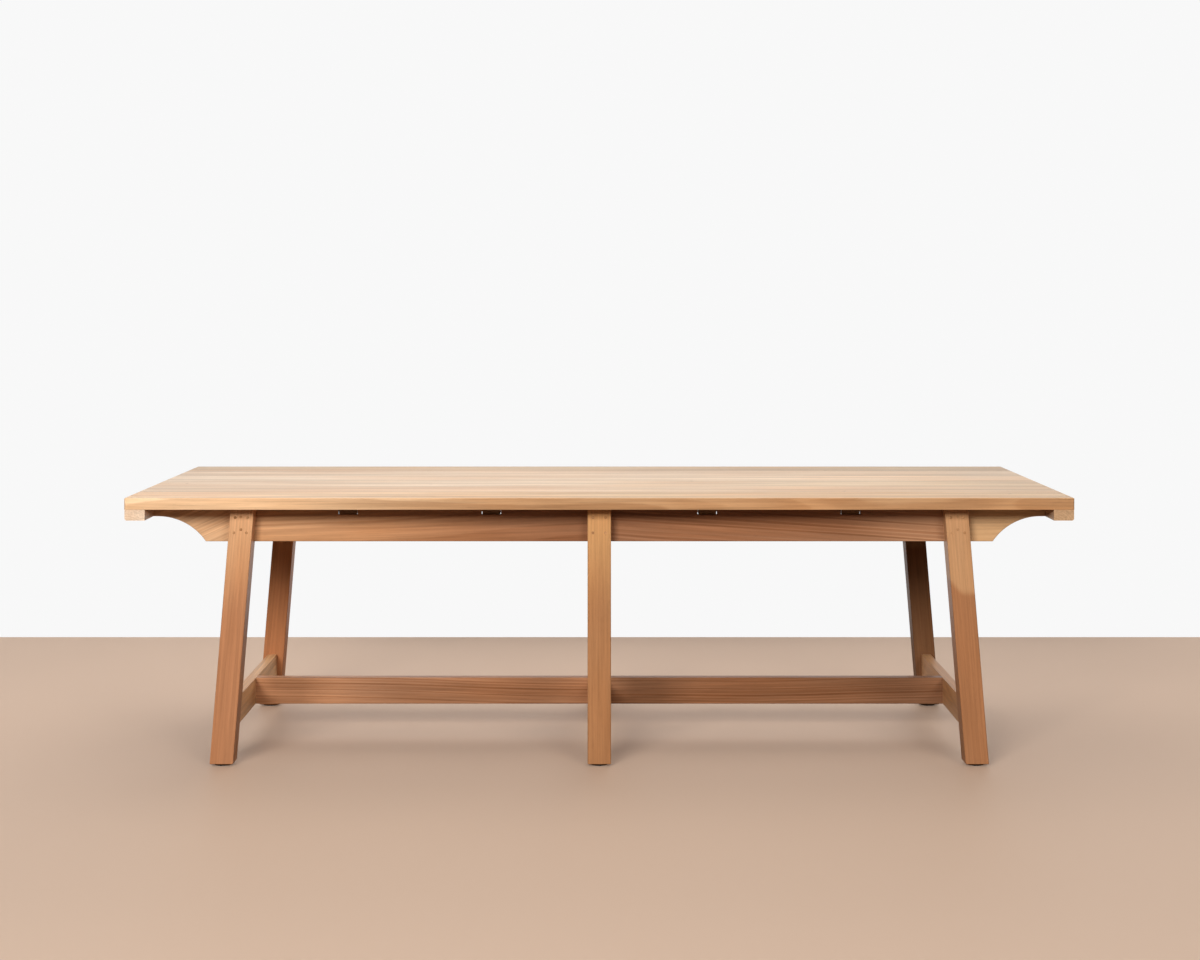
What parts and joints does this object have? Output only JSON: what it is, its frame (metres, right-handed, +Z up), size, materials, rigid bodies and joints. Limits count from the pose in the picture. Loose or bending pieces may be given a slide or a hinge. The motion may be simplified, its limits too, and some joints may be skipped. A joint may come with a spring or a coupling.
{
  "type": "dining table",
  "caption": "Long rectangular solid-wood dining table with a planked top, curved end corbels, splayed end legs, low stretchers and levelling feet.",
  "frame": {"origin": "on the floor, under the middle of the top", "axes": "+X along the table's length to the right of someone facing its front, +Z up, front faces -Y"},
  "size_m": [2.6, 1, 0.75],
  "materials": {
    "top_board_1_wood": "clear matt oil on planed wood",
    "top_board_2_wood": "clear matt oil on planed wood",
    "top_board_3_wood": "clear matt oil on planed wood",
    "top_board_4_wood": "clear matt oil on planed wood",
    "top_board_5_wood": "clear matt oil on planed wood",
    "top_board_6_wood": "clear matt oil on planed wood",
    "end_batten_left_wood": "clear matt oil on planed wood",
    "end_batten_right_wood": "clear matt oil on planed wood",
    "apron_front_left_wood": "clear matt oil on planed wood",
    "apron_rear_left_wood": "clear matt oil on planed wood",
    "apron_front_right_wood": "clear matt oil on planed wood",
    "apron_rear_right_wood": "clear matt oil on planed wood",
    "corbel_front_left_wood": "clear matt oil on planed wood",
    "corbel_front_right_wood": "clear matt oil on planed wood",
    "corbel_rear_left_wood": "clear matt oil on planed wood",
    "corbel_rear_right_wood": "clear matt oil on planed wood",
    "leg_front_left_wood": "clear matt oil on planed wood",
    "leg_front_middle_wood": "clear matt oil on planed wood",
    "leg_front_right_wood": "clear matt oil on planed wood",
    "leg_rear_left_wood": "clear matt oil on planed wood",
    "leg_rear_middle_wood": "clear matt oil on planed wood",
    "leg_rear_right_wood": "clear matt oil on planed wood",
    "cross_stretcher_left_wood": "clear matt oil on planed wood",
    "cross_stretcher_middle_wood": "clear matt oil on planed wood",
    "cross_stretcher_right_wood": "clear matt oil on planed wood",
    "long_stretcher_left_wood": "clear matt oil on planed wood",
    "long_stretcher_right_wood": "clear matt oil on planed wood",
    "batten_wood": "planed wood, thinly oiled",
    "rail_wood": "planed wood, thinly oiled",
    "spline_wood": "bare wood, glued",
    "pin_wood": "end grain darkened by oil",
    "screw_steel": "zinc plated",
    "clip_steel": "zinc plated",
    "stem_steel": "zinc plated",
    "insert_brass": "turned brass",
    "pad_plastic": "moulded, matt"
  },
  "bodies": {
    "table": {"top_board_1": "top_board_1_wood", "top_board_2": "top_board_2_wood", "top_board_3": "top_board_3_wood", "top_board_4": "top_board_4_wood", "top_board_5": "top_board_5_wood", "top_board_6": "top_board_6_wood", "board_splines": "spline_wood", "end_batten_left": "end_batten_left_wood", "end_batten_right": "end_batten_right_wood", "cross_batten_1": "batten_wood", "cross_batten_2": "batten_wood", "cross_batten_3": "batten_wood", "cross_batten_4": "batten_wood", "apron_front_left": "apron_front_left_wood", "apron_front_right": "apron_front_right_wood", "apron_rear_left": "apron_rear_left_wood", "apron_rear_right": "apron_rear_right_wood", "corbel_front_left": "corbel_front_left_wood", "corbel_front_right": "corbel_front_right_wood", "corbel_rear_left": "corbel_rear_left_wood", "corbel_rear_right": "corbel_rear_right_wood", "leg_front_left": "leg_front_left_wood", "leg_front_middle": "leg_front_middle_wood", "leg_front_right": "leg_front_right_wood", "leg_rear_left": "leg_rear_left_wood", "leg_rear_middle": "leg_rear_middle_wood", "leg_rear_right": "leg_rear_right_wood", "top_rail_left": "rail_wood", "top_rail_middle": "rail_wood", "top_rail_right": "rail_wood", "cross_stretcher_left": "cross_stretcher_left_wood", "cross_stretcher_middle": "cross_stretcher_middle_wood", "cross_stretcher_right": "cross_stretcher_right_wood", "long_stretcher_left": "long_stretcher_left_wood", "long_stretcher_right": "long_stretcher_right_wood", "apron_pins": "pin_wood", "corbel_pins": "pin_wood", "rail_pins": "pin_wood", "end_batten_screws": "screw_steel", "cross_batten_screws": "screw_steel", "clip_screws": "screw_steel", "top_clips": "clip_steel", "foot_inserts": "insert_brass"},
    "foot_front_left": {"foot_pad_front_left": "pad_plastic", "foot_stem_front_left": "stem_steel"},
    "foot_front_middle": {"foot_pad_front_middle": "pad_plastic", "foot_stem_front_middle": "stem_steel"},
    "foot_front_right": {"foot_pad_front_right": "pad_plastic", "foot_stem_front_right": "stem_steel"},
    "foot_rear_left": {"foot_pad_rear_left": "pad_plastic", "foot_stem_rear_left": "stem_steel"},
    "foot_rear_middle": {"foot_pad_rear_middle": "pad_plastic", "foot_stem_rear_middle": "stem_steel"},
    "foot_rear_right": {"foot_pad_rear_right": "pad_plastic", "foot_stem_rear_right": "stem_steel"}
  },
  "joints": [
    {"name": "foot_front_left_height", "type": "slide", "parent": "table", "child": "foot_front_left", "axis": [0, 0, -1], "range_m": [0, 0.012]},
    {"name": "foot_front_middle_height", "type": "slide", "parent": "table", "child": "foot_front_middle", "axis": [0, 0, -1], "range_m": [0, 0.012]},
    {"name": "foot_front_right_height", "type": "slide", "parent": "table", "child": "foot_front_right", "axis": [0, 0, -1], "range_m": [0, 0.012]},
    {"name": "foot_rear_left_height", "type": "slide", "parent": "table", "child": "foot_rear_left", "axis": [0, 0, -1], "range_m": [0, 0.012]},
    {"name": "foot_rear_middle_height", "type": "slide", "parent": "table", "child": "foot_rear_middle", "axis": [0, 0, -1], "range_m": [0, 0.012]},
    {"name": "foot_rear_right_height", "type": "slide", "parent": "table", "child": "foot_rear_right", "axis": [0, 0, -1], "range_m": [0, 0.012]}
  ]
}
